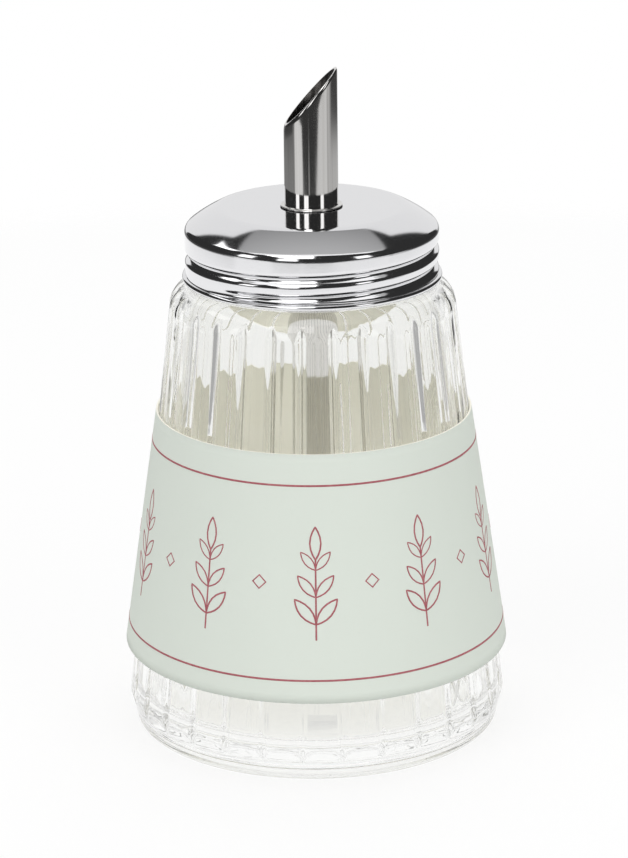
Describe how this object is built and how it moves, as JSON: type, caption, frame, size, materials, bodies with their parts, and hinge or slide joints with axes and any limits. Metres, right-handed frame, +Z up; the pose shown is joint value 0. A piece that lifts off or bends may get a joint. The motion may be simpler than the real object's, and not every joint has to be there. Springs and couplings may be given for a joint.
{
  "type": "sugar dispenser",
  "caption": "Fluted conical glass jar with a domed screw cap, a straight pouring tube with a slanted open mouth through the cap, and a loose card sleeve round the glass.",
  "frame": {"origin": "centre of the jar's foot, on the surface that it stands on", "axes": "+Z up along the jar and the pouring tube; +X towards the high side of the tube's slanted mouth; the view of the picture is from -Y"},
  "size_m": [0.0884, 0.0884, 0.1527],
  "materials": {
    "clear_glass": "clear pressed glass, fire polished",
    "white_seal": "moulded white polymer",
    "cap_chrome": "bright chrome on rolled sheet",
    "tube_steel": "polished stainless steel",
    "printed_card": "pale green matt card with dark red print"
  },
  "bodies": {
    "jar": {"glass_jar": "clear_glass"},
    "seal": {"sealing_ring": "white_seal"},
    "cap": {"screw_cap": "cap_chrome", "pouring_tube": "tube_steel", "tube_collar": "tube_steel", "lock_ring": "tube_steel"},
    "sleeve": {"card_sleeve": "printed_card"}
  },
  "joints": [
    {"name": "cap_lift", "type": "slide", "parent": "jar", "child": "seal", "axis": [0, 0, 1], "range_m": [0, 0.00525]},
    {"name": "cap_turn", "type": "hinge", "parent": "seal", "child": "cap", "pos_m": [0, 0, 0.11], "axis": [0, 0, 1], "range_deg": [0, 450]},
    {"name": "sleeve_off", "type": "slide", "parent": "jar", "child": "sleeve", "axis": [0, 0, 1], "range_m": [0, 0.14]}
  ],
  "couplings": [
    {"joint": "cap_turn", "follows": "cap_lift", "rad_per_m": 1496}
  ]
}
